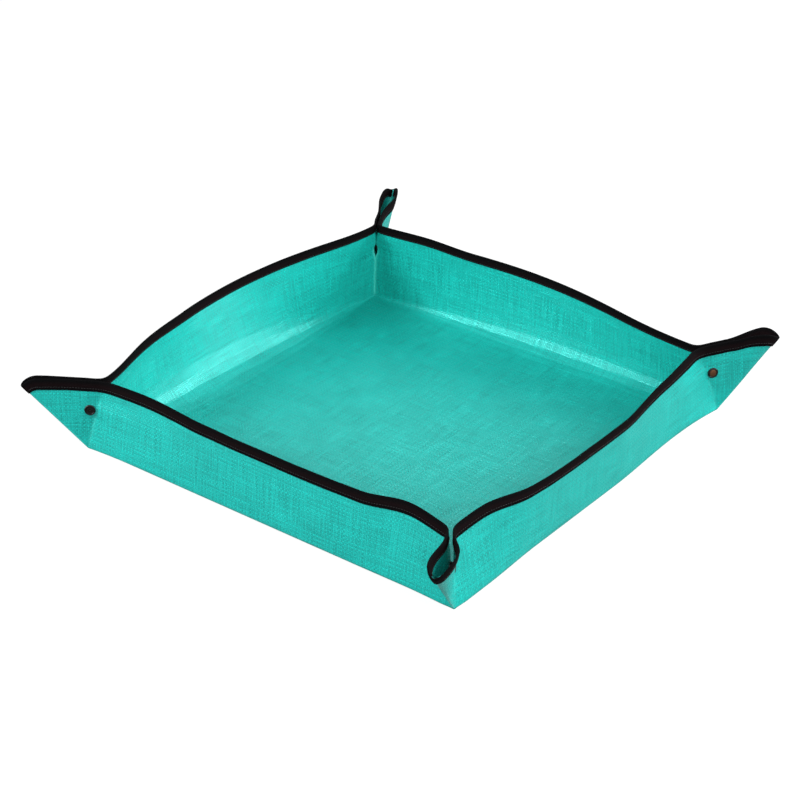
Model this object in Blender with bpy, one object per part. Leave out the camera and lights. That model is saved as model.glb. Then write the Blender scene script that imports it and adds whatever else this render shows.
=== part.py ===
"""Square fold-up repotting mat: one coated woven sheet, bound with tape all round its edge.

Four snaps pinch the corners, which lifts the margins into walls and the corners into ears.
The sheet is divided along its fold lines: a floor, four walls and two halves of each ear.
Metres, +Z up, the origin under the middle of the floor. The front wall faces -Y.
"""

import math

import bmesh
import bpy
from mathutils import Matrix, Vector

# The sheet
FLOOR_SIDE = 0.510
WALL_SLANT = 0.085
SHEET = 0.0008
FOLD_GAP = 0.0003

# How far each corner's crease leans in over the floor, along either of its sides
FRONT_RIGHT_LEAN = 0.016
BACK_RIGHT_LEAN = 0.022
BACK_LEFT_LEAN = 0.014
FRONT_LEFT_LEAN = 0.016

# The back left corner is folded deeper, so that the floor's corner lies this much further in
BACK_LEFT_TUCK = 0.022

# The ears
PINCH_HALF_GAP = 0.0025
EAR_TIP_RADIUS = 0.028
EAR_ROOT = 0.005

# How far the middle of each wall's top edge stands out from the line between its creases
FRONT_BOW = 0.014
RIGHT_BOW = 0.030
BACK_BOW = 0.020
LEFT_BOW = 0.045

# How far half an ear swells open between its snap and its tip
TIGHT_LOOP = 0.001
SLIGHT_LOOP = 0.003
OPEN_LOOP = 0.006
WIDE_LOOP = 0.012

# The binding tape, folded over the edge
TAPE = 0.0006
TAPE_DEPTH = 0.012
TAPE_FIT = 0.0003
TAPE_SETBACK = 0.0014

# The snaps
SNAP_FROM_CREASE = 0.0070
SNAP_BELOW_EDGE = 0.038
SNAP_FIT = 0.0003
CAP_RADIUS = 0.0064
CAP_HEIGHT = 0.0016
CAP_RIM = 0.0006
RING_WIDTH = 0.0014
BARREL_RADIUS = 0.0021
BARREL_WALL = 0.0005
SOCKET_RADIUS = 0.0052
SOCKET_HEIGHT = 0.0015
STUD_BASE_RADIUS = 0.0050
STUD_BASE_HEIGHT = 0.0005
STUD_RADIUS = 0.0019
STUD_NECK = 0.0003
CUTTER_OVERRUN = 0.002

# Facets
ALONG_STEPS = 26
UP_STEPS = 2
EAR_TURN_STEPS = 14
EAR_REACH_STEPS = 4
ROUND_STEPS = 20

# What follows from the sizes
HALF_FLOOR = FLOOR_SIDE / 2
SIDE_SHIFT = PINCH_HALF_GAP / math.sqrt(2)
TIP_HALF_GAP = TAPE + 2 * TAPE_FIT
EAR_START = SHEET + FOLD_GAP

SIDES = {"front": 0, "right": 1, "back": 2, "left": 3}
# Each corner, with the side whose far end meets it and the side whose near end meets it
CORNERS = {
    "front_right": ("front", "right"),
    "back_right": ("right", "back"),
    "back_left": ("back", "left"),
    "front_left": ("left", "front"),
}
LEANS = {
    "front_right": FRONT_RIGHT_LEAN,
    "back_right": BACK_RIGHT_LEAN,
    "back_left": BACK_LEFT_LEAN,
    "front_left": FRONT_LEFT_LEAN,
}
TUCKS = {"front_right": 0, "back_right": 0, "back_left": BACK_LEFT_TUCK, "front_left": 0}
# How far each ear swings about its crease, towards its near side
SWING_DEGREES = {"front_right": -18, "back_right": 9, "back_left": -17, "front_left": -9}
# The swelling of each ear's far half and near half
LOOPS = {
    "front_right": (SLIGHT_LOOP, WIDE_LOOP),
    "back_right": (SLIGHT_LOOP, SLIGHT_LOOP),
    "back_left": (OPEN_LOOP, OPEN_LOOP),
    "front_left": (TIGHT_LOOP, TIGHT_LOOP),
}
BOWS = {"front": FRONT_BOW, "right": RIGHT_BOW, "back": BACK_BOW, "left": LEFT_BOW}
# A higher first power carries a wall's bow further towards its ends, and a higher second one narrows it
BOW_POWERS = {"front": (2.0, 2.2), "right": (2.8, 1.5), "back": (2.0, 3.0), "left": (2.0, 2.0)}


def clear_scene():
    for old in list(bpy.data.objects):
        bpy.data.objects.remove(old, do_unlink=True)


def material(name, colour, roughness, metallic=0.0):
    """A plain material with the piece's own colour and gloss."""
    made = bpy.data.materials.new(name)
    made.use_nodes = True
    shader = made.node_tree.nodes["Principled BSDF"]
    shader.inputs["Base Color"].default_value = (*colour, 1.0)
    shader.inputs["Roughness"].default_value = roughness
    shader.inputs["Metallic"].default_value = metallic
    return made


def empty(name, place, parent=None):
    """A pivot: its own X axis lies along the fold that it stands for."""
    made = bpy.data.objects.new(name, None)
    made.empty_display_size = TAPE_DEPTH
    bpy.context.scene.collection.objects.link(made)
    made.parent = parent
    made.matrix_world = place
    bpy.context.view_layer.update()
    return made


def add_piece(name, mesh, pivot, finish, place=None):
    """Puts a mesh in the scene on its pivot. Without a place of its own it sits in the pivot's frame."""
    piece = bpy.data.objects.new(name, mesh)
    bpy.context.scene.collection.objects.link(piece)
    piece.parent = pivot
    if place is not None:
        piece.matrix_world = place
    if finish.name not in mesh.materials:
        mesh.materials.append(finish)
    return piece


def mesh_from_rows(name, rows, close_rows=False):
    """A skin over rows of points, or a closed bar when each row is a loop."""
    work = bmesh.new()
    grid = [[work.verts.new(point) for point in row] for row in rows]
    width = len(grid[0])
    spans = width if close_rows else width - 1
    for lower, upper in zip(grid, grid[1:]):
        for i in range(spans):
            j = (i + 1) % width
            work.faces.new((lower[i], lower[j], upper[j], upper[i]))
    if close_rows:
        work.faces.new(list(reversed(grid[0])))
        work.faces.new(grid[-1])
    bmesh.ops.recalc_face_normals(work, faces=work.faces)
    made = bpy.data.meshes.new(name)
    work.to_mesh(made)
    work.free()
    made.shade_smooth()
    made.set_sharp_from_angle(angle=math.radians(40))
    return made


def corner_turn(name):
    """Turns the X axis to point outward along a corner's diagonal."""
    return Matrix.Rotation(math.radians(90 * SIDES[CORNERS[name][1]] - 135), 4, "Z")


class Corner:
    """One pinched corner: what follows from how deep it is folded and how far it leans and swings.

    Its frame has x outward along the diagonal, y across towards the near side and z up.
    """

    def __init__(self, name):
        self.tuck = TUCKS[name]
        self.lean = LEANS[name]
        self.slant = WALL_SLANT + self.tuck
        self.foot = HALF_FLOOR - self.tuck
        self.draw = self.lean + SIDE_SHIFT
        self.out = SIDE_SHIFT - self.lean
        inward = self.lean * math.sqrt(2)
        rise = math.sqrt(self.slant**2 - self.out**2)
        self.length = math.hypot(rise, inward)
        self.spread = math.radians(135) - math.atan2(self.slant, self.draw)
        self.up_crease = Vector((-inward, 0, rise)) / self.length
        swing = math.radians(SWING_DEGREES[name])
        straight_out = Vector((rise, 0, inward)) / self.length
        sideways = Vector((0, 1, 0))
        self.off_crease = straight_out * math.cos(swing) + sideways * math.sin(swing)
        self.across_ear = sideways * math.cos(swing) - straight_out * math.sin(swing)
        turn = corner_turn(name)
        spot = turn @ Vector((self.foot * math.sqrt(2), 0, SHEET))
        self.frame = Matrix.Translation(spot) @ turn

    def ear_reach(self, turn, inset):
        """How far the ear's outline lies from the floor's corner, at an angle from the ear's fold."""
        middle = (self.slant - EAR_TIP_RADIUS) * math.sqrt(2)
        radius = EAR_TIP_RADIUS - inset
        side = radius * math.sqrt(0.5)
        if turn > math.atan2(side, middle + side):
            return (self.slant - inset) / math.cos(turn - math.pi / 4)
        return middle * math.cos(turn) + math.sqrt(radius**2 - (middle * math.sin(turn)) ** 2)

    def ear_point(self, loop, hand, turn_share, reach):
        """A point on the inner face of half an ear. Its hand is -1 for the far half, 1 for the near."""
        angle = self.spread * turn_share
        high_share = reach / self.length
        past_snap = max(0, (turn_share - 0.3) / 0.7)
        swell = max(0, math.sin(math.pi * past_snap**1.3)) ** 0.7
        apart = PINCH_HALF_GAP * (1 - turn_share) + TIP_HALF_GAP * turn_share
        across = FOLD_GAP + high_share * apart + loop * swell * high_share**2
        start = EAR_START * (1 - turn_share)
        in_ear = self.up_crease * math.cos(angle) + self.off_crease * math.sin(angle)
        return in_ear * reach + Vector((start, hand * across, 0))

    def ear_surface(self, loop, hand):
        """The same face by its place along the bound edge and its depth below that edge."""

        def surface(turn_share, depth):
            turn = self.spread * (1 - turn_share)
            return self.ear_point(loop, hand, turn_share, self.ear_reach(turn, depth))

        return surface

    def snap_point(self, hand):
        """The snap's centre on the inner face of half an ear, or between the halves for hand zero."""
        along_crease = self.length - SNAP_BELOW_EDGE
        turn_share = math.atan2(SNAP_FROM_CREASE, along_crease) / self.spread
        return self.ear_point(0, hand, turn_share, math.hypot(SNAP_FROM_CREASE, along_crease))

    def snap_place(self):
        """The snap's own place: Z square to the ear, towards its far half."""
        axis = -self.across_ear
        turn = Matrix((self.up_crease, axis.cross(self.up_crease), axis)).transposed().to_4x4()
        return self.frame @ Matrix.Translation(self.snap_point(0)) @ turn


def ends_of(side):
    """The corners at a side's near end and far end."""
    near = next(name for name, pair in CORNERS.items() if pair[1] == side)
    far = next(name for name, pair in CORNERS.items() if pair[0] == side)
    return Corner(near), Corner(far)


def side_frame(side):
    """A side's frame: x along the side, -y outward, z up from the sheet's top face."""
    return Matrix.Rotation(SIDES[side] * math.pi / 2, 4, "Z") @ Matrix.Translation((0, 0, SHEET))


def wall_surface(side, bow):
    """The inner face of a wall, in its side's frame."""
    near, far = ends_of(side)
    fullness, slimness = BOW_POWERS[side]

    def surface(along_share, depth):
        far_share = (1 + along_share) / 2
        tuck = near.tuck + (far.tuck - near.tuck) * far_share
        slant = WALL_SLANT + tuck
        up_share = 1 - depth / slant
        swell = (1 - min(1, abs(along_share)) ** fullness) ** slimness
        out = near.out + (far.out - near.out) * far_share + bow * swell
        near_end = near.foot - FOLD_GAP - up_share * near.draw
        far_end = far.foot - FOLD_GAP - up_share * far.draw
        along = far_end * far_share - near_end * (1 - far_share)
        rise = math.sqrt(slant**2 - out**2)
        return Vector((along, tuck - HALF_FLOOR - up_share * out, up_share * rise))

    return surface


def ear_turn_shares():
    """Even at the crease and closer together near the fold, where the ear curves most."""
    return [1 - (1 - i / EAR_TURN_STEPS) ** 1.35 for i in range(EAR_TURN_STEPS + 1)]


def normal_of(surface, along, depth, outward):
    """The unit normal of a surface, on the side that outward points to."""
    step = 0.004
    low = max(min(along, 1 - step), -1 + step)
    by_along = surface(low + step, depth) - surface(low - step, depth)
    by_depth = surface(along, depth + SHEET) - surface(along, depth)
    normal = by_along.cross(by_depth).normalized()
    return normal if normal.dot(outward) > 0 else -normal


def binding_rows(surface, stations, outward):
    """Loops of the folded tape's section: two legs on the sheet's faces, joined over its edge."""
    outer = SHEET + TAPE_FIT + TAPE
    inner = TAPE_FIT + TAPE
    half_depth = TAPE_DEPTH / 2
    rows = []
    for along in stations:
        edge = surface(along, 0)
        normal = normal_of(surface, along, 0, outward)
        up = (edge - surface(along, SHEET)).normalized()
        middle = surface(along, half_depth)
        middle_normal = normal_of(surface, along, half_depth, outward)
        low = surface(along, TAPE_DEPTH)
        low_normal = normal_of(surface, along, TAPE_DEPTH, outward)
        roof = up * (TAPE_FIT + TAPE)
        rows.append(
            [
                low + low_normal * outer,
                middle + middle_normal * outer,
                edge + normal * outer,
                edge + normal * (SHEET + TAPE_FIT) + roof,
                edge - normal * TAPE_FIT + roof,
                edge - normal * inner,
                middle - middle_normal * inner,
                low - low_normal * inner,
                low - low_normal * TAPE_FIT,
                middle - middle_normal * TAPE_FIT,
                edge - normal * TAPE_FIT + up * TAPE_FIT,
                edge + normal * (SHEET + TAPE_FIT) + up * TAPE_FIT,
                middle + middle_normal * (SHEET + TAPE_FIT),
                low + low_normal * (SHEET + TAPE_FIT),
            ]
        )
    return rows


def thicken(piece):
    """Gives a skin the sheet's thickness, on its outer side."""
    solid = piece.modifiers.new("Sheet", "SOLIDIFY")
    solid.thickness = SHEET
    solid.offset = 1
    solid.use_even_offset = True


def face_outward(mesh, outward):
    """Turns a skin's faces over where they look into the tray."""
    total = sum((face.normal * face.area for face in mesh.polygons), Vector())
    if total.dot(outward) < 0:
        mesh.flip_normals()


def fold_place(side):
    """A wall's hinge line: along its fold, on the floor's top face."""
    near, far = ends_of(side)
    start = Vector((-near.foot, -near.foot, 0))
    end = Vector((far.foot, -far.foot, 0))
    run = end - start
    slope = Matrix.Rotation(math.atan2(run.y, run.x), 4, "Z")
    return side_frame(side) @ Matrix.Translation((start + end) / 2) @ slope


def crease_place(side, hand):
    """A crease's hinge line: along the end of the wall, on its outer face."""
    surface = wall_surface(side, 0)
    end = ends_of(side)[1 if hand > 0 else 0]
    base = surface(hand, end.slant - FOLD_GAP)
    top = surface(hand, 0)
    normal = normal_of(surface, hand, WALL_SLANT / 2, Vector((0, -1, 0)))
    along = (top - base).normalized() * hand
    across = normal.cross(along).normalized()
    turn = Matrix((along, across, along.cross(across))).transposed().to_4x4()
    return side_frame(side) @ Matrix.Translation(base + normal * SHEET) @ turn


def floor_panel(finish):
    work = bmesh.new()
    spots = []
    for name in ("front_left", "front_right", "back_right", "back_left"):
        reach = (Corner(name).foot - FOLD_GAP) * math.sqrt(2)
        spots.append(work.verts.new(corner_turn(name) @ Vector((reach, 0, SHEET))))
    work.faces.new(reversed(spots))
    mesh = bpy.data.meshes.new("floor_panel")
    work.to_mesh(mesh)
    work.free()
    thicken(add_piece("floor_panel", mesh, None, finish))


def revolve(name, profile):
    """Turns an outline of (radius, height) points about Z into a closed solid. Points run up the outside."""
    work = bmesh.new()
    rings = []
    for radius, height in profile:
        if radius == 0:
            rings.append([work.verts.new((0, 0, height))])
            continue
        ring = []
        for i in range(ROUND_STEPS):
            turn = math.tau * i / ROUND_STEPS
            ring.append(work.verts.new((radius * math.cos(turn), radius * math.sin(turn), height)))
        rings.append(ring)
    for lower, upper in zip(rings, rings[1:] + rings[:1]):
        if len(lower) == 1 and len(upper) == 1:
            continue
        for i in range(ROUND_STEPS):
            j = (i + 1) % ROUND_STEPS
            if len(lower) == 1:
                work.faces.new((lower[0], upper[j], upper[i]))
            elif len(upper) == 1:
                work.faces.new((lower[i], lower[j], upper[0]))
            else:
                work.faces.new((lower[i], lower[j], upper[j], upper[i]))
    bmesh.ops.recalc_face_normals(work, faces=work.faces)
    mesh = bpy.data.meshes.new(name)
    work.to_mesh(mesh)
    work.free()
    mesh.shade_smooth()
    mesh.set_sharp_from_angle(angle=math.radians(35))
    return mesh


def snap_meshes(corner):
    """The four turned pieces of a snap. Z is its axis and zero is midway between the ear's faces."""
    face = (corner.snap_point(1) - corner.snap_point(0)).dot(corner.across_ear)
    outer_face = face + SHEET
    seat = outer_face + SNAP_FIT
    inner_seat = face - SNAP_FIT
    hollow = BARREL_RADIUS - BARREL_WALL
    cap = [
        (0, seat + CAP_HEIGHT),
        (0, inner_seat),
        (BARREL_RADIUS, inner_seat),
        (BARREL_RADIUS, seat),
        (CAP_RADIUS, seat),
        (CAP_RADIUS, seat + CAP_RIM),
        (CAP_RADIUS - CAP_RIM, seat + CAP_HEIGHT - CAP_RIM / 2),
        (CAP_RADIUS - RING_WIDTH, seat + CAP_HEIGHT),
        (CAP_RADIUS - RING_WIDTH - CAP_RIM, seat + CAP_HEIGHT - CAP_RIM),
        (CAP_RADIUS / 2, seat + CAP_HEIGHT - CAP_RIM / 2),
    ]
    socket_bore = STUD_RADIUS + SNAP_FIT
    socket_foot = inner_seat - SOCKET_HEIGHT
    socket = [
        (BARREL_RADIUS + SNAP_FIT, inner_seat),
        (socket_bore, inner_seat - SOCKET_HEIGHT / 3),
        (socket_bore, socket_foot + CAP_RIM / 2),
        (socket_bore + CAP_RIM / 2, socket_foot),
        (SOCKET_RADIUS - CAP_RIM, socket_foot),
        (SOCKET_RADIUS, socket_foot + CAP_RIM),
        (SOCKET_RADIUS, inner_seat),
    ]
    base_top = -inner_seat + STUD_BASE_HEIGHT
    stud_top = inner_seat - SNAP_FIT - STUD_NECK
    waist = STUD_RADIUS - STUD_NECK
    stud = [
        (BARREL_RADIUS + SNAP_FIT, -inner_seat),
        (STUD_BASE_RADIUS, -inner_seat),
        (STUD_BASE_RADIUS, -inner_seat + STUD_BASE_HEIGHT / 2),
        (STUD_BASE_RADIUS - STUD_NECK, base_top),
        (waist + STUD_NECK, base_top),
        (waist, (base_top + stud_top) / 2),
        (STUD_RADIUS, stud_top - STUD_NECK),
        (STUD_RADIUS - STUD_NECK, stud_top),
        (0, stud_top),
        (0, base_top),
        (BARREL_RADIUS + SNAP_FIT, base_top - STUD_BASE_HEIGHT / 2),
    ]
    eyelet = [
        (hollow, -seat - CAP_RIM),
        (hollow, -inner_seat),
        (BARREL_RADIUS, -inner_seat),
        (BARREL_RADIUS, -seat),
        (CAP_RADIUS, -seat),
        (CAP_RADIUS, -seat - CAP_RIM),
        (CAP_RADIUS - CAP_RIM, -seat - CAP_HEIGHT + CAP_RIM / 2),
        (CAP_RADIUS - RING_WIDTH, -seat - CAP_HEIGHT + CAP_RIM / 2),
        (CAP_RADIUS - RING_WIDTH - CAP_RIM, -seat - CAP_RIM),
    ]
    shapes = {"cap": cap, "socket": socket, "stud": stud, "eyelet": eyelet}
    return {name: revolve("snap_" + name, outline) for name, outline in shapes.items()}


def punch(piece, place, hand):
    """Punches the snap's hole through half an ear."""
    work = bmesh.new()
    length = 2 * (PINCH_HALF_GAP + SHEET) + CUTTER_OVERRUN
    radius = BARREL_RADIUS + SNAP_FIT
    bmesh.ops.create_cone(
        work, cap_ends=True, segments=ROUND_STEPS, radius1=radius, radius2=radius, depth=length
    )
    mesh = bpy.data.meshes.new(piece.name + "_punch")
    work.to_mesh(mesh)
    work.free()
    cutter = bpy.data.objects.new(piece.name + "_punch", mesh)
    bpy.context.scene.collection.objects.link(cutter)
    cutter.parent = piece.parent
    cutter.matrix_world = place @ Matrix.Translation((0, 0, hand * length / 2))
    cutter.hide_render = True
    cutter.display_type = "WIRE"
    cut = piece.modifiers.new("Hole", "BOOLEAN")
    cut.operation = "DIFFERENCE"
    cut.object = cutter


def build():
    clear_scene()
    teal = material("coated_weave", (0.03, 0.62, 0.50), 0.35)
    black = material("binding_tape", (0.012, 0.012, 0.014), 0.85)
    metal = material("snap_metal", (0.05, 0.045, 0.04), 0.35, 0.9)
    copper = material("snap_cap", (0.22, 0.11, 0.06), 0.35, 0.9)
    finishes = {"cap": copper, "socket": metal, "stud": metal, "eyelet": metal}

    floor_panel(teal)

    creases = {}
    outward = Vector((0, -1, 0))
    for side in SIDES:
        fold = empty("fold_" + side, fold_place(side))
        to_fold = fold.matrix_world.inverted() @ side_frame(side)
        surface = wall_surface(side, BOWS[side])
        near, far = ends_of(side)
        stations = [2 * i / ALONG_STEPS - 1 for i in range(ALONG_STEPS + 1)]
        rows = []
        for i in range(UP_STEPS + 1):
            row = []
            for along in stations:
                slant = near.slant + (far.slant - near.slant) * (1 + along) / 2
                row.append(surface(along, TAPE_DEPTH + (slant - FOLD_GAP - TAPE_DEPTH) * (1 - i / UP_STEPS)))
            rows.append(row)
        rows += [[surface(along, depth) for along in stations] for depth in (TAPE_DEPTH / 2, 0)]
        mesh = mesh_from_rows("wall_" + side, rows)
        face_outward(mesh, outward)
        mesh.transform(to_fold)
        thicken(add_piece("wall_" + side, mesh, fold, teal))

        last = 1 - TAPE_SETBACK / HALF_FLOOR
        rows = binding_rows(surface, [max(-last, min(last, along)) for along in stations], outward)
        mesh = mesh_from_rows("binding_" + side, rows, close_rows=True)
        mesh.transform(to_fold)
        add_piece("binding_" + side, mesh, fold, black)
        for hand in (1, -1):
            name = f"crease_{side}_{'far' if hand > 0 else 'near'}"
            creases[side, hand] = empty(name, crease_place(side, hand), fold)

    for name, (far_side, near_side) in CORNERS.items():
        corner = Corner(name)
        snaps = snap_meshes(corner)
        snap_place = corner.snap_place()
        far_loop, near_loop = LOOPS[name]
        for side, hand, loop in ((far_side, 1, far_loop), (near_side, -1, near_loop)):
            # The far side's half lies on the corner frame's -y side, and the near side's on +y.
            lateral = -hand
            pivot = creases[side, hand]
            to_pivot = pivot.matrix_world.inverted() @ corner.frame
            outer = Vector((0, lateral, 0))
            shares = ear_turn_shares()
            rows = []
            for i in range(EAR_REACH_STEPS):
                row = []
                for share in shares:
                    far = corner.ear_reach(corner.spread * (1 - share), TAPE_DEPTH)
                    reach = EAR_ROOT + (far - EAR_ROOT) * i / (EAR_REACH_STEPS - 1)
                    row.append(corner.ear_point(loop, lateral, share, reach))
                rows.append(row)
            surface = corner.ear_surface(loop, lateral)
            for depth in (TAPE_DEPTH / 2, 0):
                rows.append([surface(share, depth) for share in shares])
            mesh = mesh_from_rows(f"ear_{name}_{side}", rows)
            face_outward(mesh, outer)
            mesh.transform(to_pivot)
            piece = add_piece(f"ear_{name}_{side}", mesh, pivot, teal)
            thicken(piece)
            punch(piece, snap_place, hand)

            first = TAPE_SETBACK / corner.length
            stations = [max(share, first) for share in shares]
            rows = binding_rows(surface, stations, outer)
            mesh = mesh_from_rows(f"binding_{name}_{side}", rows, close_rows=True)
            mesh.transform(to_pivot)
            add_piece(f"binding_{name}_{side}", mesh, pivot, black)

            kinds = ("cap", "socket") if hand > 0 else ("stud", "eyelet")
            for kind in kinds:
                add_piece(f"snap_{name}_{kind}", snaps[kind], pivot, finishes[kind], snap_place)


build()
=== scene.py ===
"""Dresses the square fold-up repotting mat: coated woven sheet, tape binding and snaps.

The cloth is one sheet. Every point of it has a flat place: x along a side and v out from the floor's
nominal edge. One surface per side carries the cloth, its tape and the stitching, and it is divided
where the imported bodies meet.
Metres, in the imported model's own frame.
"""

import math

import bpy
import numpy as np
from mathutils import Matrix, Vector


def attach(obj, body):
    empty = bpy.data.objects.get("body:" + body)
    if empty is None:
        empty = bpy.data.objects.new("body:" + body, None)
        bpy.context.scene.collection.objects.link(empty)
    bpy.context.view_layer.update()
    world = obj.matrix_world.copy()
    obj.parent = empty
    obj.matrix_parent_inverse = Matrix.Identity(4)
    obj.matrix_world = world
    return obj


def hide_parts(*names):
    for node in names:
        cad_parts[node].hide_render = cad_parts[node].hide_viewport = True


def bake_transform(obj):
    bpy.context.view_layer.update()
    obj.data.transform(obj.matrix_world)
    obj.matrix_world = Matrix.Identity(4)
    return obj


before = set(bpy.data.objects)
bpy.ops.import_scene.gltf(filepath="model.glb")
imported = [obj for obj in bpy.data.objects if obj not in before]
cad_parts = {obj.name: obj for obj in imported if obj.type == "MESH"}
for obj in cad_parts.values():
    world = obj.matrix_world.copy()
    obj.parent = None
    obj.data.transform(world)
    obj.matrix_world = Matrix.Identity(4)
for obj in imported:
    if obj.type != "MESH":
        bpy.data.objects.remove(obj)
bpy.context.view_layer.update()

# Sizes that the solids have
FLOOR_SIDE = 0.510
WALL_SLANT = 0.085
SHEET = 0.0008
FOLD_GAP = 0.0003
PINCH_HALF_GAP = 0.0025
EAR_TIP_RADIUS = 0.028
TAPE = 0.0006
TAPE_DEPTH = 0.012
TAPE_FIT = 0.0003
SNAP_FROM_CREASE = 0.0070
SNAP_BELOW_EDGE = 0.038
CAP_RADIUS = 0.0064

HALF_FLOOR = FLOOR_SIDE / 2
SIDE_SHIFT = PINCH_HALF_GAP / math.sqrt(2)
TIP_HALF_GAP = TAPE + 2 * TAPE_FIT
EAR_START = SHEET + FOLD_GAP
SEAM_OUT = SHEET + TAPE_FIT + TAPE
DIAGONAL = math.pi / 4

SIDES = {"front": 0, "right": 1, "back": 2, "left": 3}
# Each corner, with the side whose far end meets it and the side whose near end meets it
CORNERS = {
    "front_right": ("front", "right"),
    "back_right": ("right", "back"),
    "back_left": ("back", "left"),
    "front_left": ("left", "front"),
}
LEANS = {"front_right": 0.016, "back_right": 0.022, "back_left": 0.014, "front_left": 0.016}
TUCKS = {"back_left": 0.022}
SWING_DEGREES = {"front_right": -18, "back_right": 9, "back_left": -17, "front_left": -9}
# How far each ear's far half and near half swell open, over which shares of the ear they start and fill,
# and the share of its height by which its edge dips before the tip
SWELLS = {
    "front_right": ((0.0070, 0.25, 0.75, 0), (0.0122, 0.02, 0.62, 0)),
    "back_right": ((0.0075, 0.40, 0.82, -0.045), (0.0070, 0.40, 0.80, 0)),
    "back_left": ((0.0062, 0.30, 0.75, 0.02), (0.0046, 0.30, 0.75, 0.02)),
    "front_left": ((0.0010, 0.40, 0.80, 0), (0.0010, 0.40, 0.80, 0)),
}
# The last share of each ear, over which it rounds over at its own fold
ROUNDINGS = {"front_right": 0.50, "back_right": 0.20, "back_left": 0.34, "front_left": 0.03}
# How many degrees an ear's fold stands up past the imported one, and the share by which its tip is shorter
TIP_LIFTS = {"front_right": 2.4, "back_right": 0.4}
TIP_PULLS = {"front_left": 0.045}
# How far an ear's tip curls towards the corner's near side
TIP_CURLS = {"front_right": -0.0015}
BOWS = {"front": 0.014, "right": 0.030, "back": 0.020, "left": 0.045}
BOW_POWERS = {"front": (2.0, 2.2), "right": (2.8, 1.5), "back": (2.0, 3.0), "left": (2.0, 2.0)}

# How soft the cloth's folds are
# Half the width over which the cloth bends at the foot of each wall
FOOT_BENDS = {"front": 0.009, "right": 0.010, "back": 0.058, "left": 0.060}
# How far from its near corner and its far corner that bend takes to reach its full width
FOOT_FADES = {"front": (0.06, 0.06), "right": (0.06, 0.06), "back": (0.07, 0.30), "left": (0.26, 0.07)}
FLOOR_MARGIN = 0.002
# Half the width over which the top of a wall turns into an ear, at each corner's far side and near side
SHOULDERS = {
    "front_right": (0.013, 0.011),
    "back_right": (0.028, 0.014),
    "back_left": (0.010, 0.008),
    "front_left": (0.014, 0.026),
}
CREASE_BEND = 0.0014
# Half the width over which the lower part of each crease is rounded
LOWER_BENDS = {"front_right": 0.005, "back_right": 0.009, "front_left": 0.003}
# Nothing is shifted this near a snap
SNAP_ROOM = 0.010
# The height shares at which a crease has its full bend, its lower rounding ends and its shoulder starts
CREASE_FULL = 0.25
LOWER_TOP = 0.54
SHOULDER_START = 0.66
# How many half widths from the crease its bend stops
BEND_LIMIT = 1.02
# Where the used sheet lies off its nominal shape: the flat place, the reach either way and the shift
SHIFTS = (
    ((0.255, -0.200), (0.050, 0.090), (0.0030, 0, 0)),
    ((0.255, -0.255), (0.022, 0.022), (-0.0015, 0.0015, 0)),
    ((0.255, 0.170), (0.090, 0.130), (-0.0045, 0, 0)),
    ((0.345, -0.020), (0.100, 0.260), (-0.0055, 0, 0)),
    ((0.345, -0.185), (0.100, 0.060), (-0.0030, 0, 0.0040)),
    ((0.345, 0.120), (0.100, 0.090), (-0.0060, 0, 0)),
    ((-0.010, -0.345), (0.260, 0.100), (0, 0.0055, 0.0020)),
    ((0.185, -0.345), (0.060, 0.100), (0, 0.0040, 0.0060)),
    ((-0.165, -0.345), (0.080, 0.100), (0, 0.0020, 0.0020)),
    ((-0.345, -0.165), (0.100, 0.090), (-0.0045, 0, 0.0020)),
    ((-0.150, 0.345), (0.070, 0.100), (0, 0.0030, 0.0025)),
)
# Half the gap between two walls' creases where their bands touch, and below the snap
CLOSED_HALF_GAP = 0.00105
SHUT_HALF_GAP = -0.00015
# How much further the crease lines stand apart right beside the snap, and how far along and off them
EYES = {"back_left": 0.0009}
EYE_LENGTH = 0.0045
EYE_REACH = 0.0055
# How far either side of the snap the creases stay apart, and over what length they shut
SNAP_WINDOW = 0.0048
SHUT_FADE = 0.0056
# How far off the creases a shut pinch draws the ears, and where it stays open above the snap
PINCH_REACH = 0.016
OPEN_PINCHES = ("front_right",)
# The cloth's slight unevenness, and the shares of a wall's height and length over which it fades in
RIPPLE = 0.0004
RIPPLE_RISE = 0.4
RIPPLE_INSET = 0.12
WAVES = 7
LONGEST_WAVE = 0.21
# How fast a pinch's pull dies away along the wall
PULL_POWER = 8
# How far from its crease an ear is clear of the wall, and the height share above which it swells no further
CLEAR_REACH = 0.006
FULL_HEIGHT = 1.2
# Where the bend between a wall and its ear starts off the crease, and how wide it is
BEND_START = 0.0003
BEND_WIDTH = 0.0034
# Stations across an ear: the share beside the crease, then how many up to its fold's rounding and round it
CREASE_SHARE = 0.3
PLAIN_STATIONS = 22
ROUND_STATIONS = 13
# Rounds in which a place's share along a tapering wall settles
SHARE_ROUNDS = 4
TINY = 1e-9
# The raised cosine that rounds the bends
KERNEL_MARKS = 9
KERNEL = np.linspace(-1, 1, KERNEL_MARKS)[1:-1]
KERNEL_WEIGHTS = 0.5 * (1 + np.cos(math.pi * KERNEL))
KERNEL_WEIGHTS /= KERNEL_WEIGHTS.sum()


def smooth_step(t):
    t = np.clip(t, 0, 1)
    return t * t * (3 - 2 * t)


def unit(vectors):
    length = np.linalg.norm(vectors, axis=-1, keepdims=True)
    return vectors / np.maximum(length, 1e-12)


def ripples(x, v, seed):
    """Soft unevenness of the cloth from a few fixed waves, about -1 to 1."""
    made = 0
    for i in range(WAVES):
        wave_length = LONGEST_WAVE / (1 + 0.6 * i)
        turn = 0.5 * math.sin(seed * 2.1 + i * 1.7)
        phase = seed * 3.7 + i * 2.3
        run = x * math.cos(turn) + v * math.sin(turn) * 2.2
        made = made + np.sin(math.tau * run / wave_length + phase) / (1 + 0.8 * i) / 1.8
    return made


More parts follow.
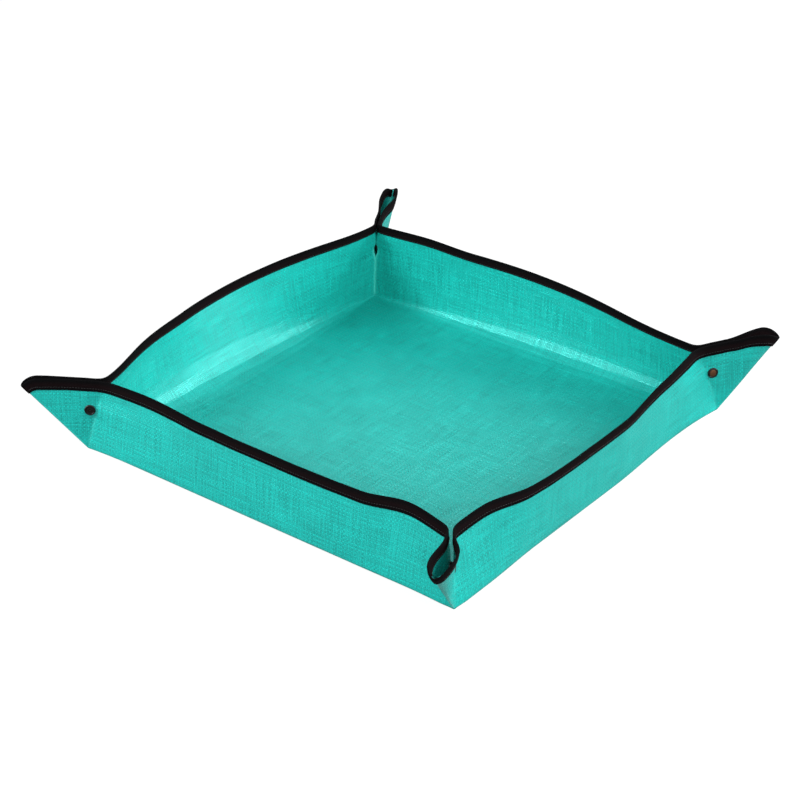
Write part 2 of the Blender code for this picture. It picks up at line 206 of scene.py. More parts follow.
class Corner:
    """One pinched corner. Its frame has x outward along the diagonal, y towards the near side and z up."""

    def __init__(self, name):
        self.name = name
        self.tuck = TUCKS.get(name, 0)
        self.lean = LEANS[name]
        self.slant = WALL_SLANT + self.tuck
        self.foot = HALF_FLOOR - self.tuck
        self.draw = self.lean + SIDE_SHIFT
        self.out = SIDE_SHIFT - self.lean
        inward = self.lean * math.sqrt(2)
        rise = math.sqrt(self.slant**2 - self.out**2)
        self.length = math.hypot(rise, inward)
        self.flat_length = math.hypot(self.slant, self.draw)
        self.flat_angle = math.atan2(self.slant, -self.draw)
        self.spread = self.flat_angle - DIAGONAL
        self.up_crease = np.array([-inward, 0, rise]) / self.length
        self.rounding = ROUNDINGS[name]
        self.lift = math.radians(TIP_LIFTS.get(name, 0))
        self.swing = math.radians(SWING_DEGREES[name])
        straight_out = np.array([rise, 0, inward]) / self.length
        sideways = np.array([0, 1, 0])
        self.off_crease = straight_out * math.cos(self.swing) + sideways * math.sin(self.swing)
        self.across_ear = sideways * math.cos(self.swing) - straight_out * math.sin(self.swing)
        turn = Matrix.Rotation(math.radians(90 * SIDES[CORNERS[name][1]] - 135), 4, "Z")
        self.base = turn @ Vector((self.foot * math.sqrt(2), 0, SHEET))
        self.frame = Matrix.Translation(self.base) @ turn
        snap_along = self.length - SNAP_BELOW_EDGE
        self.snap_angle = math.atan2(SNAP_FROM_CREASE, snap_along)
        self.snap_reach = math.hypot(SNAP_FROM_CREASE, snap_along)

    def pinch(self, high):
        """Half the gap between the crease lines at a share of the height: the snap holds them apart."""
        gap = PINCH_HALF_GAP * high
        past_snap = high * self.length - (self.length - SNAP_BELOW_EDGE)
        shut = smooth_step((-past_snap - SNAP_WINDOW) / SHUT_FADE)
        if self.name not in OPEN_PINCHES:
            shut = np.maximum(shut, smooth_step((past_snap - SNAP_WINDOW) / SHUT_FADE))
        taped = smooth_step((past_snap - SNAP_BELOW_EDGE + TAPE_DEPTH + SHUT_FADE / 2) / (SHUT_FADE / 2))
        least = np.minimum(gap, SHUT_HALF_GAP + (CLOSED_HALF_GAP - SHUT_HALF_GAP) * taped)
        return gap + (least - gap) * shut + EYES.get(self.name, 0) * np.exp(-((past_snap / EYE_LENGTH) ** 2))

    def crease_x(self, v):
        return self.foot - (v + self.tuck) / self.slant * self.draw

    def edge_reach(self, angle):
        """How far the bound edge lies from the floor's corner in the flat sheet, at an angle."""
        centre = self.slant - EAR_TIP_RADIUS
        middle = centre * math.sqrt(2)
        past = angle - DIAGONAL
        tangent = math.atan2(self.slant, centre) - DIAGONAL
        inside = np.maximum(EAR_TIP_RADIUS**2 - (middle * np.sin(past)) ** 2, 0)
        rounded = middle * np.cos(past) + np.sqrt(inside)
        return np.where(past < tangent, rounded, self.slant / np.sin(angle))

    def ear(self, dx, dv, hand):
        """Frame place of a point of half an ear. The hand is 1 on a side's far end and -1 on its near end."""
        flat_reach = np.hypot(dx, dv)
        angle = np.clip(self.flat_angle - np.arctan2(dv, dx), 0, self.spread)
        share = angle / self.spread
        high = flat_reach / self.flat_length
        reach = high * self.length
        away = reach * np.sin(angle)
        settled = smooth_step(away / CLEAR_REACH)
        amount, first, full, dip = SWELLS[self.name][0 if hand > 0 else 1]
        swell = amount * smooth_step((share - first) / (full - first)) * np.minimum(high, FULL_HEIGHT) ** 2
        across = high * (PINCH_HALF_GAP * (1 - share) + TIP_HALF_GAP * share)
        drawn = self.pinch(high) - PINCH_HALF_GAP * high
        drawn = drawn * (1 - smooth_step(away / np.where(drawn > 0, EYE_REACH, PINCH_REACH)))
        across = across + drawn + FOLD_GAP * settled + swell
        closing = np.clip((share - 1) / self.rounding + 1, 0, 1)
        across = across * np.sqrt(1 - closing**2)
        start = EAR_START * (1 - share) * settled
        shown = angle - self.lift * share**2
        in_ear = self.up_crease * np.cos(shown)[..., None] + self.off_crease * np.sin(shown)[..., None]
        shorter = TIP_PULLS.get(self.name, 0) * share**4
        shorter = shorter + dip * np.sin(math.pi * np.clip(2 * share - 1, 0, 1)) ** 2
        made = in_ear * (reach * (1 - shorter))[..., None]
        made[..., 0] += start
        made[..., 1] += TIP_CURLS.get(self.name, 0) * share**2 * np.minimum(high, FULL_HEIGHT) - hand * across
        return made

    def fold_normal(self):
        """Outward direction at the ear's own fold, in the frame."""
        turn = self.spread - self.lift
        return self.off_crease * math.cos(turn) - self.up_crease * math.sin(turn)

    def shares(self):
        """Stations from the crease to the ear's fold, close together where the cloth bends."""
        beside = stations(0, CREASE_SHARE, coarse=0.025, fine=0.008, margin_low=0.12, margin_high=0)
        plain = np.linspace(CREASE_SHARE, 1 - self.rounding, PLAIN_STATIONS)
        rounded = 1 - self.rounding * np.cos(np.linspace(0, 1, ROUND_STATIONS) * math.pi / 2)
        return np.concatenate([beside[:-1], plain[:-1], rounded])

    def crease_zone(self, hand):
        """Start and end of the bend between a wall and its half of the ear."""
        first = max(0, -hand * PINCH_HALF_GAP * math.sin(self.swing)) + BEND_START
        off = Vector(self.off_crease)
        return self.frame @ (off * first), self.frame @ (off * (first + BEND_WIDTH))

    def snap_centre(self):
        """The snap's centre between the halves, and its axis, in the world."""
        in_ear = self.up_crease * math.cos(self.snap_angle) + self.off_crease * math.sin(self.snap_angle)
        start = EAR_START * (1 - self.snap_angle / self.spread)
        spot = in_ear * self.snap_reach + np.array([start, 0, 0])
        return self.frame @ Vector(spot), self.frame.to_3x3() @ Vector(self.across_ear)


CORNER = {name: Corner(name) for name in CORNERS}


def snap_places():
    """Flat places of every snap in the world's axes, on both halves of its ear."""
    made = []
    for name, corner in CORNER.items():
        angle = corner.flat_angle - corner.snap_angle
        reach = corner.snap_reach * corner.flat_length / corner.length
        x = corner.foot + reach * math.cos(angle)
        y = corner.tuck - HALF_FLOOR - reach * math.sin(angle)
        for hand, side in zip((1, -1), CORNERS[name]):
            turn = Matrix.Rotation(SIDES[side] * math.pi / 2, 2)
            made.append(np.array(turn @ Vector((hand * x, y))))
    return made


SNAP_PLACES = snap_places()


def shift_at(flat):
    """How far the used sheet lies off its nominal shape, by the flat place. The snaps hold it in place."""
    held = 1
    for spot in SNAP_PLACES:
        held = held * smooth_step((np.linalg.norm(flat - spot, axis=-1) - SNAP_ROOM) / (3 * SNAP_ROOM))
    made = 0
    for middle, reach, shift in SHIFTS:
        near = np.maximum(1 - np.abs(flat - np.array(middle)) / np.array(reach), 0)
        made = made + (smooth_step(near[..., 0]) * smooth_step(near[..., 1]))[..., None] * np.array(shift)
    return made * held[..., None]


def to_side(hand, vectors):
    """Turns vectors from a corner's frame into the frame of the side whose hand end meets it."""
    along, lateral = vectors[..., 0], vectors[..., 1]
    root = math.sqrt(0.5)
    if hand > 0:
        made = ((along + lateral) * root, (lateral - along) * root, vectors[..., 2])
    else:
        made = ((lateral - along) * root, (-along - lateral) * root, vectors[..., 2])
    return np.stack(made, -1)


def ends_of(side):
    """The corners at a side's near end and far end."""
    near = next(name for name, pair in CORNERS.items() if pair[1] == side)
    far = next(name for name, pair in CORNERS.items() if pair[0] == side)
    return CORNER[near], CORNER[far]


def inner_corner(name):
    """Where the floor's own piece has its corner, in the world."""
    lines = []
    for side in CORNERS[name]:
        near, far = ends_of(side)
        run = (far.base - near.base).to_2d().normalized()
        inward = Vector((-run.y, run.x))
        lines.append((inward, inward.dot(near.base.to_2d()) + FOOT_BENDS[side] + FLOOR_MARGIN))
    (a, p), (b, q) = lines
    cross = a.x * b.y - a.y * b.x
    return Vector(((p * b.y - q * a.y) / cross, (q * a.x - p * b.x) / cross))


class Strip:
    """One margin of the sheet: a wall with half an ear at each end, in the side's own frame."""

    def __init__(self, side):
        self.side = side
        self.turn = np.array(Matrix.Rotation(SIDES[side] * math.pi / 2, 3, "Z"))
        self.near, self.far = ends_of(side)
        self.inner = {}
        for hand, corner in ((-1, self.near), (1, self.far)):
            spot = self.turn.T @ np.array([*inner_corner(corner.name), 0])
            self.inner[hand] = np.array([spot[0], -HALF_FLOOR - spot[1]])

    def corner(self, hand):
        return self.far if hand > 0 else self.near

    def share_of(self, x, v):
        """Share of the way from the near end to the far end, the tuck there, and the height share."""
        near, far = self.near, self.far
        share = np.clip((x + near.foot) / (near.foot + far.foot), 0, 1)
        for _ in range(SHARE_ROUNDS):
            tuck = near.tuck + (far.tuck - near.tuck) * share
            up = (v + tuck) / (WALL_SLANT + tuck)
            above = np.maximum(up, 0)
            near_end = near.foot - above * near.draw
            far_end = far.foot - above * far.draw
            share = np.clip((x + near_end) / (near_end + far_end), 0, 1)
        return share, tuck, up

    def raw(self, x, v):
        near, far = self.near, self.far
        share, tuck, up = self.share_of(x, v)
        floor = np.stack([x, -HALF_FLOOR - v, np.full_like(x, SHEET)], -1)
        above = np.maximum(up, TINY)
        first, second = BOW_POWERS[self.side]
        swell = (1 - np.abs(2 * share - 1) ** first) ** second
        out = near.out + (far.out - near.out) * share + BOWS[self.side] * swell
        slant = WALL_SLANT + tuck
        rise = np.sqrt(slant**2 - out**2)
        uneven = smooth_step(above / RIPPLE_RISE) * smooth_step(np.minimum(share, 1 - share) / RIPPLE_INSET)
        uneven = uneven * RIPPLE * ripples(x, v, SIDES[self.side] + 1)
        far_shut = (PINCH_HALF_GAP * above - far.pinch(above)) * share**PULL_POWER * math.sqrt(0.5)
        near_shut = (PINCH_HALF_GAP * above - near.pinch(above)) * (1 - share) ** PULL_POWER * math.sqrt(0.5)
        wall_x = x + far_shut - near_shut
        wall_y = tuck - HALF_FLOOR - above * out - uneven + far_shut + near_shut
        wall = np.stack([wall_x, wall_y, SHEET + above * rise], -1)
        made = np.where((up > 0)[..., None], wall, floor)
        for hand in (1, -1):
            corner = self.corner(hand)
            on_ear = (v > -corner.tuck) & (hand * x > corner.crease_x(v))
            ear = corner.ear(hand * x - corner.foot, v + corner.tuck, hand)
            ear = to_side(hand, ear) + np.array([hand * corner.foot, -corner.foot, SHEET])
            made = np.where(on_ear[..., None], ear, made)
        return made

    def surface(self, x, v):
        """The sheet's inner face with its bends rounded."""
        share, tuck, up = self.share_of(x, v)
        foot = FOOT_BENDS[self.side]
        bend = 0
        for hand in (1, -1):
            corner = self.corner(hand)
            base = np.array([hand * corner.foot, -corner.tuck])
            run = self.inner[hand] - base
            mitre = hand * (base[0] + run[0] * (v + corner.tuck) / run[1])
            limit = np.where(v > -corner.tuck, corner.crease_x(v), mitre)
            place = 1 if hand > 0 else 0
            inside = np.clip((limit - hand * x) / FOOT_FADES[self.side][place], 0, 1)
            foot = foot * (1 - (1 - inside) ** 2)
            shoulder = SHOULDERS[corner.name][1 - place]
            lower = LOWER_BENDS.get(corner.name, 0) * np.sin(math.pi * np.clip(up / LOWER_TOP, 0, 1)) ** 2
            wide = CREASE_BEND * smooth_step(up / CREASE_FULL) + lower
            wide = wide + shoulder * smooth_step((up - SHOULDER_START) / (1 - SHOULDER_START))
            off = np.abs(hand * x - corner.crease_x(np.maximum(v, -corner.tuck)))
            wide = np.where(off > wide * BEND_LIMIT, 0, wide)
            bend = bend + np.where(hand * x > 0, wide, 0)
        made = 0
        for dx, wx in zip(KERNEL, KERNEL_WEIGHTS):
            for dv, wv in zip(KERNEL, KERNEL_WEIGHTS):
                made = made + wx * wv * self.raw(x + bend * dx, v + foot * dv)
        return made + shift_at(self.flat(x, v)) @ self.turn

    def world(self, points):
        return points @ self.turn.T

    def flat(self, x, v):
        """The flat place in the world's axes, so that the weave runs on from side to side."""
        spot = self.world(np.stack([x, -HALF_FLOOR - v, np.zeros_like(x)], -1))
        return spot[..., :2]


def grid_faces(rows, columns, offset=0, flip=False):
    faces = []
    for i in range(rows - 1):
        for j in range(columns - 1):
            a = offset + i * columns + j
            quad = (a, a + 1, a + columns + 1, a + columns)
            faces.append(quad[::-1] if flip else quad)
    return faces


def sheet_faces(rows, columns):
    """Faces of a sheet's inner and outer skin and then of its edges, and how many belong to the skins."""
    count = rows * columns
    faces = grid_faces(rows, columns, flip=True) + grid_faces(rows, columns, offset=count)
    skin = len(faces)
    border = list(range(columns))
    border += [i * columns + columns - 1 for i in range(1, rows)]
    border += [(rows - 1) * columns + j for j in range(columns - 2, -1, -1)]
    border += [i * columns for i in range(rows - 2, 0, -1)]
    for a, b in zip(border, border[1:] + border[:1]):
        faces.append((b + count, a + count, a, b))
    return faces, skin


def clean_face(face, back):
    """A face's corners with each merged point once, or nothing where they make no face."""
    kept = []
    for corner in face:
        if not kept or back[corner] != back[kept[-1]]:
            kept.append(corner)
    if len(kept) > 1 and back[kept[0]] == back[kept[-1]]:
        kept.pop()
    whole = len(kept) > 2 and len({back[k] for k in kept}) == len(kept)
    return kept if whole else []


def add_object(name, data):
    made = bpy.data.objects.new(name, data)
    bpy.context.scene.collection.objects.link(made)
    return made


def add_piece(name, points, faces):
    mesh = bpy.data.meshes.new(name)
    mesh.from_pydata([tuple(p) for p in points], [], faces)
    return add_object(name, mesh)


def set_flat(mesh, places):
    """Gives each corner of the mesh's faces its flat place, which carries the weave."""
    layer = mesh.uv_layers.new(name="flat")
    layer.data.foreach_set("uv", np.array(places, np.float32).ravel())


def shell(name, inner, normals, flat, wear_and_highlight):
    """A closed sheet: the inner face, the outer face a sheet's thickness out, and the edges between."""
    points = np.concatenate([inner.reshape(-1, 3), (inner + normals * SHEET).reshape(-1, 3)])
    faces, skin = sheet_faces(*inner.shape[:2])
    merged, first, back = np.unique(np.round(points, 7), axis=0, return_index=True, return_inverse=True)
    back = back.reshape(-1)
    shown, loop_normals, loop_flat = [], [], []
    both = np.concatenate([-normals.reshape(-1, 3), normals.reshape(-1, 3)])
    plane = np.concatenate([flat.reshape(-1, 2)] * 2)
    for index, face in enumerate(faces):
        corners = clean_face(face, back)
        if not corners:
            continue
        shown.append([int(back[k]) for k in corners])
        a, b, c = points[corners[:3]]
        edge_normal = unit(np.cross(b - a, c - a))
        for k in corners:
            loop_normals.append(tuple(both[k] if index < skin else edge_normal))
            loop_flat.append(plane[k])
    piece = add_piece(name, points[first], shown)
    mesh = piece.data
    set_flat(mesh, loop_flat)
    # Paleness along the creases and folds: partly worn coat, partly painted highlight of the sharp folds
    marked = mesh.attributes.new("wear_and_highlight", "FLOAT", "POINT")
    marked.data.foreach_set("value", np.concatenate([wear_and_highlight.ravel()] * 2)[first].astype(np.float32))
    mesh.shade_smooth()
    mesh.normals_split_custom_set(loop_normals)
    return piece


def stations(low, high, coarse, fine, margin_low, margin_high):
    """Places from low to high, closer together near the ends."""
    marks = [low]
    while marks[-1] < high - TINY:
        here = marks[-1]
        near = min((here - low) / max(margin_low, TINY), (high - here) / max(margin_high, TINY), 1)
        marks.append(here + fine + (coarse - fine) * max(near, 0))
    marks = np.array(marks)
    return low + (marks - low) * (high - low) / (marks[-1] - low)


WALL_SHARES = stations(-1, 1, coarse=0.016, fine=0.004, margin_low=0.16, margin_high=0.16)
UP_MARKS = stations(0, 1, coarse=0.04, fine=0.018, margin_low=0.45, margin_high=0.05)
ROW_BELOW = 0.0022


def outline_point(along, depth):
    """Flat place of a point by its distance along the bound edge from the wall's middle and its depth."""
    straight = HALF_FLOOR + WALL_SLANT - EAR_TIP_RADIUS
    hand = np.sign(along)
    past = np.maximum(np.abs(along) - straight, 0)
    turn = math.pi / 2 - past / EAR_TIP_RADIUS
    radius = EAR_TIP_RADIUS - depth
    x = np.where(past > 0, straight + radius * np.cos(turn), np.abs(along))
    v = np.where(past > 0, WALL_SLANT - EAR_TIP_RADIUS + radius * np.sin(turn), WALL_SLANT - depth)
    return hand * x, v


def surface_normals(points):
    return unit(np.cross(np.gradient(points, axis=1), np.gradient(points, axis=0)))


def build_strip(strip):
    """Flat places, surface points and normals of one side's cloth."""
    near, far = strip.near, strip.far
    below = math.ceil((FOOT_BENDS[strip.side] + FLOOR_MARGIN) / ROW_BELOW)
    low_x, low_v = [], []
    share = (1 + WALL_SHARES) / 2
    for i in range(below):
        near_end = strip.inner[-1] + (np.array([-near.foot, -near.tuck]) - strip.inner[-1]) * i / below
        far_end = strip.inner[1] + (np.array([far.foot, -far.tuck]) - strip.inner[1]) * i / below
        low_x.append(near_end[0] + (far_end[0] - near_end[0]) * share)
        low_v.append(near_end[1] + (far_end[1] - near_end[1]) * share)
    tuck = near.tuck + (far.tuck - near.tuck) * share
    up = UP_MARKS[:, None]
    wall_x = (far.foot - up * far.draw) * share - (near.foot - up * near.draw) * (1 - share)
    wall_v = up * (WALL_SLANT + tuck) - tuck
    ears = {}
    for hand in (1, -1):
        corner = strip.corner(hand)
        angle = corner.flat_angle - corner.shares() * corner.spread
        reach = corner.edge_reach(angle)[None, :] * up
        ex = hand * (corner.foot + reach * np.cos(angle))
        ev = reach * np.sin(angle) - corner.tuck
        ex[:, 0] = wall_x[:, -1 if hand > 0 else 0]
        ev[:, 0] = wall_v[:, -1 if hand > 0 else 0]
        ears[hand] = (ex, ev)
    wide = ears[-1][0].shape[1] - 1
    middle = slice(wide, wide + len(WALL_SHARES))
    full_x = np.concatenate([ears[-1][0][:, :0:-1], wall_x, ears[1][0][:, 1:]], 1)
    full_v = np.concatenate([ears[-1][1][:, :0:-1], wall_v, ears[1][1][:, 1:]], 1)
    low_x, low_v = np.array(low_x), np.array(low_v)
    low = strip.surface(low_x, low_v)
    full = strip.surface(full_x, full_v)
    wall = np.concatenate([low, full[:, middle]])
    column = np.gradient(full, axis=1)
    row = np.gradient(full, axis=0)
    row[:, middle] = np.gradient(wall, axis=0)[below:]
    full_normals = unit(np.cross(column, row))
    full_normals[0, :wide] = full_normals[1, :wide]
    full_normals[0, middle.stop :] = full_normals[1, middle.stop :]
    for hand, place in ((-1, 0), (1, -1)):
        full_normals[:, place] = to_side(hand, strip.corner(hand).fold_normal())
    wall_normals = surface_normals(wall)
    wall_normals[below:] = full_normals[:, middle]
    wall_flat = np.concatenate([low_x, wall_x]), np.concatenate([low_v, wall_v])
    return dict(
        wall=wall,
        wall_normals=wall_normals,
        wall_flat=wall_flat,
        full=full,
        full_normals=full_normals,
        full_flat=(full_x, full_v),
        middle=middle,
        wide=wide,
    )


def wear_and_highlight_of(strip, x, v):
    """How pale the cloth is painted along the pinched creases and the ears' own folds, from 0 to 1: partly
    the coat's worn, whitened folds and partly a painted highlight where the sharp folds would catch the
    light.
    """
    made = np.zeros_like(x)
    for hand in (1, -1):
        corner = strip.corner(hand)
        dx, dv = hand * x - corner.foot, v + corner.tuck
        high = np.clip(np.hypot(dx, dv) / corner.flat_length, 0, 1)
        off = (hand * x - corner.crease_x(v)) * corner.slant / corner.flat_length
        marked = 1 - smooth_step((high - CREASE_MARKED_TO) / CREASE_MARK_FADE)
        crease = np.exp(-((off / CREASE_WIDTH) ** 2)) * marked * CREASE_WEAR_AND_HIGHLIGHTS[corner.name]
        fold = np.exp(-(((dx - dv) / math.sqrt(2) / FOLD_WIDTH) ** 2)) * FOLD_WEAR_AND_HIGHLIGHT
        rim = smooth_step(high / FOOT_UNMARKED)
        made = np.maximum(made, np.where(dv > 0, np.maximum(crease, fold) * rim, 0))
    return made


class Graph:
    """Short calls for building a material's nodes."""

    def __init__(self, name):
        self.material = bpy.data.materials.new(name)
        self.material.use_nodes = True
        self.tree = self.material.node_tree
        self.nodes = self.tree.nodes
        self.shader = self.nodes["Principled BSDF"]

    def link(self, source, target):
        self.tree.links.new(source, target)

    def put(self, socket, value):
        if isinstance(value, bpy.types.NodeSocket):
            self.link(value, socket)
        else:
            socket.default_value = value

    def node(self, kind, output, inputs, **settings):
        """The output of a new node, whose inputs are given by name or number."""
        made = self.nodes.new("ShaderNode" + kind)
        for name, value in settings.items():
            setattr(made, name, value)
        for name, value in inputs.items():
            self.put(made.inputs[name], value)
        return made.outputs[output]

    def math(self, operation, *values, clamp=False):
        return self.node("Math", 0, dict(enumerate(values)), operation=operation, use_clamp=clamp)

    def vector_math(self, operation, output, *values):
        return self.node("VectorMath", output, dict(enumerate(values)), operation=operation)

    def noise(self, vector, scale, detail=2.0):
        return self.node("TexNoise", "Fac", {"Vector": vector, "Scale": scale, "Detail": detail})

    def scaled(self, vector, scale):
        return self.node("Mapping", "Vector", {"Vector": vector, "Scale": scale})

    def spread(self, value, low, high, to_low, to_high):
        inputs = {"Value": value, "From Min": low, "From Max": high, "To Min": to_low, "To Max": to_high}
        return self.node("MapRange", "Result", inputs)

    def mix(self, factor, first, second):
        return self.node("Mix", 0, {"Factor": factor, 2: first, 3: second})

    def mix_colour(self, factor, first, second, blend="MIX"):
        inputs = {"Factor": factor, 6: first, 7: second}
        return self.node("Mix", 2, inputs, data_type="RGBA", blend_type=blend)

    def bump(self, height, strength, distance, **under):
        inputs = {"Height": height, "Strength": strength, "Distance": distance, **under}
        return self.node("Bump", "Normal", inputs)


WEAVE_PITCH = 0.0023
# How wide and how strong the pale lines along the creases are: partly worn coat, partly painted highlight on
# the sharp folds
CREASE_WIDTH = 0.0018
CREASE_WEAR_AND_HIGHLIGHTS = {"front_right": 0.25, "back_right": 0.25, "back_left": 2.2, "front_left": 0.6}
# The height share up to which a crease is paled with wear and painted highlight, and over which that paleness
# fades
CREASE_MARKED_TO = 0.55
CREASE_MARK_FADE = 0.3
# The same pale line along an ear's own fold, partly wear and partly painted highlight, and the height share
# below which none is painted
FOLD_WIDTH = 0.0012
FOLD_WEAR_AND_HIGHLIGHT = 0.7
FOOT_UNMARKED = 0.05
SHOWN_TEAL = (0.011, 0.445, 0.395, 1)
# The colour of those pale lines: worn coat lightened further by painted highlight
PALE_TEAL = (0.10, 0.72, 0.64, 1)
SHEEN_TINT = (0.24, 1.0, 0.96, 1)
# The shares by which the threads, the clouds and the weave's steps change the cloth's shade
THREAD_SHADE = 0.28
CLOUD_SHADE = 0.06
STEP_SHADE = 0.08
# How often the noises change along each metre
THREAD_RUNS = 22
CLOUDS = 14
PATCHES = 38
# Between these two lies most of a noise
MOST = (0.3, 0.7)

TAPE_RIB = 0.0011
TAPE_TWILL = 0.0016
TAPE_FUZZ = 900
TAPE_BLACK = (0.0014, 0.0014, 0.0018, 1)
TAPE_BROWN = (0.0062, 0.0026, 0.0032, 1)
TAPE_DUST = (0.008, 0.0066, 0.007, 1)
THREAD_BLACK = (0.006, 0.005, 0.006, 1)
THREAD_GREY = (0.022, 0.018, 0.02, 1)

PLATED_BLACK = (0.010, 0.010, 0.011, 1)
RUBBED_EDGE = (0.16, 0.15, 0.14, 1)
WORN_COPPER = (0.17, 0.075, 0.035, 1)
WORN_BLACK = (0.02, 0.018, 0.017, 1)
# The shares of the cap's radius between which its worn middle ends
CAP_MIDDLE = (0.58, 0.68)
# How far inside the cap's rim its edge starts to be rubbed and is fully so
CAP_RUBBED = (0.0009, 0.0002)


def cloth_material():
    """Flat plastic tapes woven over and under, under a thin glossy coat."""
    g = Graph("teal_coated_weave")
    place = g.node("TexCoord", "UV", {})
    cells = g.scaled(place, (1 / WEAVE_PITCH, 1 / WEAVE_PITCH, 1))
    over = g.node("TexChecker", "Fac", {"Vector": cells, "Scale": 1})
    ribs = []
    for axis in ("X", "Y"):
        run = g.node("SeparateXYZ", axis, {"Vector": cells})
        wave = g.math("SINE", g.math("MULTIPLY", run, math.pi))
        ribs.append(g.math("POWER", g.math("ABSOLUTE", wave), 0.6))
    across = g.mix(over, ribs[0], ribs[1])
    along = g.mix(over, ribs[1], ribs[0])
    height = g.math("MULTIPLY", across, g.math("MULTIPLY_ADD", along, 0.35, 0.65))
    # Each tape has its own shade along its run
    warp = g.noise(g.scaled(place, (1 / WEAVE_PITCH, THREAD_RUNS, 1)), 1.0, 1.0)
    weft = g.noise(g.scaled(place, (THREAD_RUNS, 1 / WEAVE_PITCH, 1)), 1.0, 1.0)
    thread = g.mix(over, warp, weft)
    cloud = g.noise(place, CLOUDS, 3.0)
    patch = g.spread(g.noise(place, PATCHES, 2.0), 0.35, 0.65, 0.25, 1.0)
    clouded = g.spread(cloud, *MOST, -CLOUD_SHADE, CLOUD_SHADE)
    shade = g.math("ADD", g.spread(thread, *MOST, -THREAD_SHADE, THREAD_SHADE), clouded)
    step = g.mix(over, -STEP_SHADE, STEP_SHADE)
    cross = g.math("ADD", step, g.spread(height, 0.25, 0.9, -0.22, 0.06))
    level = g.math("ADD", g.math("MULTIPLY_ADD", cross, patch, shade), 1.0)
    colour = g.mix_colour(1.0, SHOWN_TEAL, level, "MULTIPLY")
    # Paler along the creases and folds, from the mesh's attribute: partly worn coat, partly painted highlight
    wear_and_highlight = g.node("Attribute", "Fac", {}, attribute_name="wear_and_highlight")
    marked = g.math("MULTIPLY", wear_and_highlight, g.spread(cloud, 0.3, 0.6, 0.25, 0.6), clamp=True)
    g.link(g.mix_colour(marked, colour, PALE_TEAL), g.shader.inputs["Base Color"])
    g.link(g.spread(thread, *MOST, 0.45, 0.17), g.shader.inputs["Roughness"])
    g.shader.inputs["Specular IOR Level"].default_value = 0.85
    g.shader.inputs["Specular Tint"].default_value = SHEEN_TINT
    fine = g.bump(height, 0.70, 0.00025)
    g.link(g.bump(cloud, 0.2, 0.0025, Normal=fine), g.shader.inputs["Normal"])
    return g.material


def tape_material():
    """Ribbed black tape, a little brown in its middle and dusty along its ribs."""
    g = Graph("black_tape")
    place = g.node("TexCoord", "UV", {})
    x, depth = (g.node("SeparateXYZ", axis, {"Vector": place}) for axis in ("X", "Y"))
    along = g.math("SINE", g.math("MULTIPLY", x, math.tau / TAPE_RIB))
    twill = g.math("MULTIPLY_ADD", depth, 0.8, x)
    slant = g.math("SINE", g.math("MULTIPLY", twill, math.tau / TAPE_TWILL))
    height = g.math("ADD", g.math("MULTIPLY", along, 0.5), slant)
    fuzz = g.noise(place, TAPE_FUZZ, 3.0)
    height = g.math("ADD", height, fuzz)
    middle = g.math("ABSOLUTE", g.math("SUBTRACT", depth, TAPE_DEPTH * 0.45))
    warm = g.spread(middle, 0.0, TAPE_DEPTH * 0.4, 1.0, 0.0)
    colour = g.mix_colour(warm, TAPE_BLACK, TAPE_BROWN)
    dusty = g.mix_colour(g.spread(fuzz, 0.5, 0.8, 0.0, 0.5), colour, TAPE_DUST)
    g.link(dusty, g.shader.inputs["Base Color"])
    g.shader.inputs["Roughness"].default_value = 0.8
    g.shader.inputs["Specular IOR Level"].default_value = 0.04
    g.link(g.bump(height, 0.6, 0.00012), g.shader.inputs["Normal"])
    return g.material


def thread_material():
    g = Graph("black_thread")
    strand = g.noise(g.node("TexCoord", "Object", {}), 2200.0, 2.0)
    colour = g.mix_colour(g.spread(strand, 0.35, 0.65, 0.0, 1.0), THREAD_BLACK, THREAD_GREY)
    g.link(colour, g.shader.inputs["Base Color"])
    g.shader.inputs["Roughness"].default_value = 0.55
    g.link(g.bump(strand, 0.5, 0.0001), g.shader.inputs["Normal"])
    return g.material


def snap_material(name, corner, worn_colour, worn_metal):
    """Dark plated metal, worn to another colour in its middle and rubbed at its rim."""
    g = Graph(name)
    place = g.node("TexCoord", "Object", {})
    centre, axis = corner.snap_centre()
    away = g.vector_math("SUBTRACT", "Vector", place, centre)
    crossed = g.vector_math("CROSS_PRODUCT", "Vector", away, axis)
    radius = g.vector_math("LENGTH", "Value", crossed)
    grain = g.noise(place, 1400.0, 3.0)
    inside = g.spread(radius, CAP_RADIUS * CAP_MIDDLE[0], CAP_RADIUS * CAP_MIDDLE[1], 1.0, 0.0)
    marked = g.math("MULTIPLY", inside, g.spread(grain, 0.25, 0.6, 0.55, 1.0))
    rubbed = g.spread(radius, CAP_RADIUS - CAP_RUBBED[0], CAP_RADIUS - CAP_RUBBED[1], 0.0, 0.35)
    plated = g.mix_colour(g.math("MULTIPLY", rubbed, grain), PLATED_BLACK, RUBBED_EDGE)
    g.link(g.mix_colour(marked, plated, worn_colour), g.shader.inputs["Base Color"])
    g.link(g.mix(inside, 0.75, worn_metal), g.shader.inputs["Metallic"])
    g.link(g.spread(grain, *MOST, 0.28, 0.5), g.shader.inputs["Roughness"])
    g.link(g.bump(grain, 0.3, 0.00005), g.shader.inputs["Normal"])
    return g.material


# The view's lens in pixels of a picture 800 wide, and its place about the middle of the floor
PICTURE_WIDTH = 800
FOCAL_PIXELS = 2348.6
RIGHT_PIXELS = -7.93
UP_PIXELS = 28.6
SENSOR_WIDTH = 36
VIEW_DISTANCE = 2.6714
VIEW_AZIMUTH = math.radians(37.493)
VIEW_ELEVATION = math.radians(30.691)
VIEW_ROLL = math.radians(0.359)

